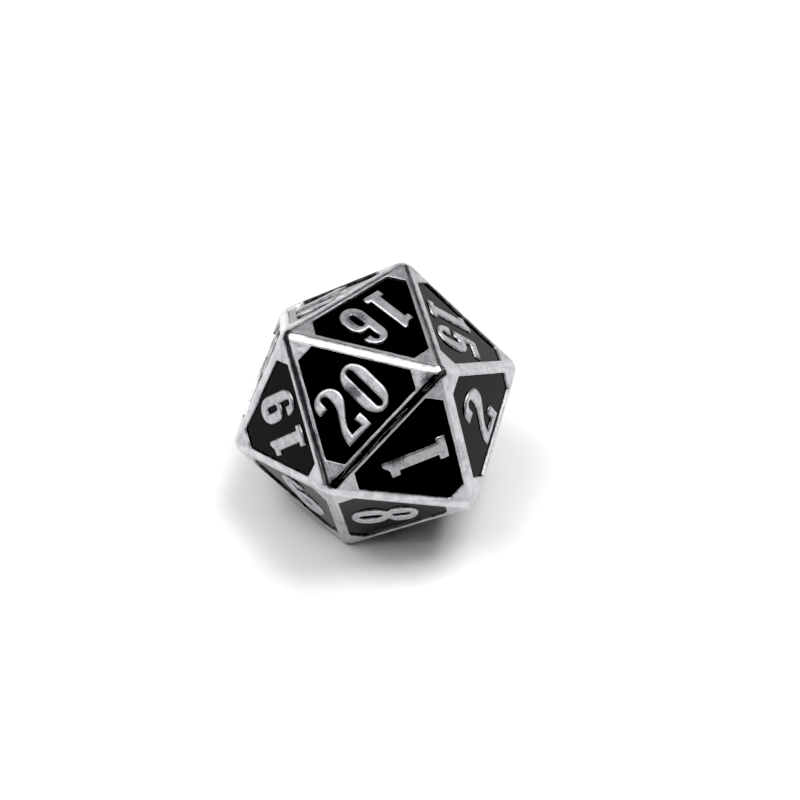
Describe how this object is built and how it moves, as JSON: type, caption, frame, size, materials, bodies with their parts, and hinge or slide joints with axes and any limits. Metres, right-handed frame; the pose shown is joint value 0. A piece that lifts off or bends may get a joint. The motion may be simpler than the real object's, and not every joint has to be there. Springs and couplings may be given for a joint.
{
  "type": "polyhedral die",
  "caption": "Icosahedral tabletop die: a plated metal casting with raised numerals and glossy black enamel set in each face's pocket, numbered so that neighbouring faces count down.",
  "frame": {"origin": "centre of the die, where its six corner-to-corner axes cross", "axes": "+Z out of the face numbered 16, which is up; -Y is the front, the side that the face numbered 20 looks to; +X to the right as seen from the front. The die rests on the face opposite the 16, numbered 6."},
  "size_m": [0.0212, 0.0244, 0.02],
  "materials": {
    "plated_metal": "satin nickel plate over zinc, slightly tumbled, fine cast pits and scratches",
    "enamel": "glossy black baked enamel, poured and self-levelled"
  },
  "bodies": {
    "root": {"die_casting": "plated_metal", "enamel_field_01": "enamel", "enamel_field_02": "enamel", "enamel_field_03": "enamel", "enamel_field_04": "enamel", "enamel_field_05": "enamel", "enamel_field_06": "enamel", "enamel_field_07": "enamel", "enamel_field_08": "enamel", "enamel_field_09": "enamel", "enamel_field_10": "enamel", "enamel_field_11": "enamel", "enamel_field_12": "enamel", "enamel_field_13": "enamel", "enamel_field_14": "enamel", "enamel_field_15": "enamel", "enamel_field_16": "enamel", "enamel_field_17": "enamel", "enamel_field_18": "enamel", "enamel_field_19": "enamel", "enamel_field_20": "enamel", "enamel_eye_04": "enamel", "enamel_eye_06": "enamel", "enamel_eye_08_upper": "enamel", "enamel_eye_08_lower": "enamel", "enamel_eye_09": "enamel", "enamel_eye_10": "enamel", "enamel_eye_14": "enamel", "enamel_eye_16": "enamel", "enamel_eye_18_upper": "enamel", "enamel_eye_18_lower": "enamel", "enamel_eye_19": "enamel", "enamel_eye_20": "enamel"}
  },
  "joints": []
}
